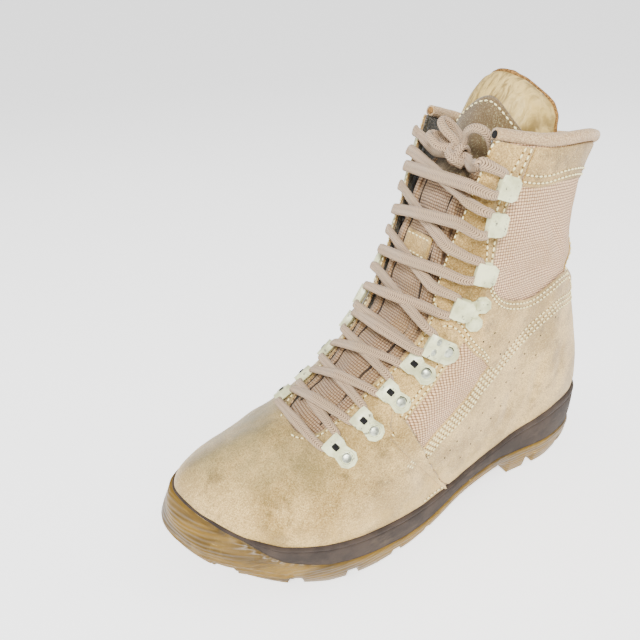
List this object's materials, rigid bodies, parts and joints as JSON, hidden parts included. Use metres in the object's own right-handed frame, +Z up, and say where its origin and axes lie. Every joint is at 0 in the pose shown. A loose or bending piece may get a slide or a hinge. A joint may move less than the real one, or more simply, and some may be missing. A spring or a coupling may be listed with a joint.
{
  "type": "combat boot",
  "caption": "Lace-up combat boot in sand suede and fabric with a lugged gum outsole, foam midsole, padded tongue and metal lace loops and hooks, laced and standing empty.",
  "frame": {"origin": "floor level under the middle of the boot's bounding box", "axes": "+X from heel to toe, +Y to the outer (lateral) side, +Z up"},
  "size_m": [0.3, 0.1145, 0.249],
  "materials": {
    "gum_rubber": "satin amber gum rubber",
    "midsole_foam": "matte moulded foam",
    "suede": "napped suede, worn",
    "smooth_leather": "soft wrinkled leather, worn",
    "fabric": "coarse woven textile",
    "lining": "matte knitted lining",
    "knit": "soft knitted tape",
    "stitching": "cream thread",
    "painted_hardware": "pale enamel, chipped at the edges",
    "lace": "braided flat cord"
  },
  "bodies": {
    "root": {"midsole": "midsole_foam", "outsole": "gum_rubber", "insole": "lining", "upper": "suede", "collar_binding": "knit", "tongue": "fabric", "loop_1_lateral": "painted_hardware", "loop_2_lateral": "painted_hardware", "loop_3_lateral": "painted_hardware", "loop_4_lateral": "painted_hardware", "lock_5_lateral": "painted_hardware", "twin_6_lateral": "painted_hardware", "hook_7_lateral": "painted_hardware", "hook_8_lateral": "painted_hardware", "hook_9_lateral": "painted_hardware", "loop_1_medial": "painted_hardware", "loop_2_medial": "painted_hardware", "loop_3_medial": "painted_hardware", "loop_4_medial": "painted_hardware", "lock_5_medial": "painted_hardware", "twin_6_medial": "painted_hardware", "hook_7_medial": "painted_hardware", "hook_8_medial": "painted_hardware", "hook_9_medial": "painted_hardware", "lace_bar": "lace", "lace_crossing_1": "lace", "lace_crossing_2": "lace", "lace_crossing_3": "lace", "lace_crossing_4": "lace", "lace_crossing_5": "lace", "lace_crossing_6": "lace", "lace_crossing_7": "lace", "lace_crossing_8": "lace", "lace_knot": "lace", "lace_run_lateral": "lace", "lace_run_medial": "lace", "lace_loop_upper": "lace", "lace_loop_lower": "lace", "lace_end": "lace"}
  },
  "joints": []
}
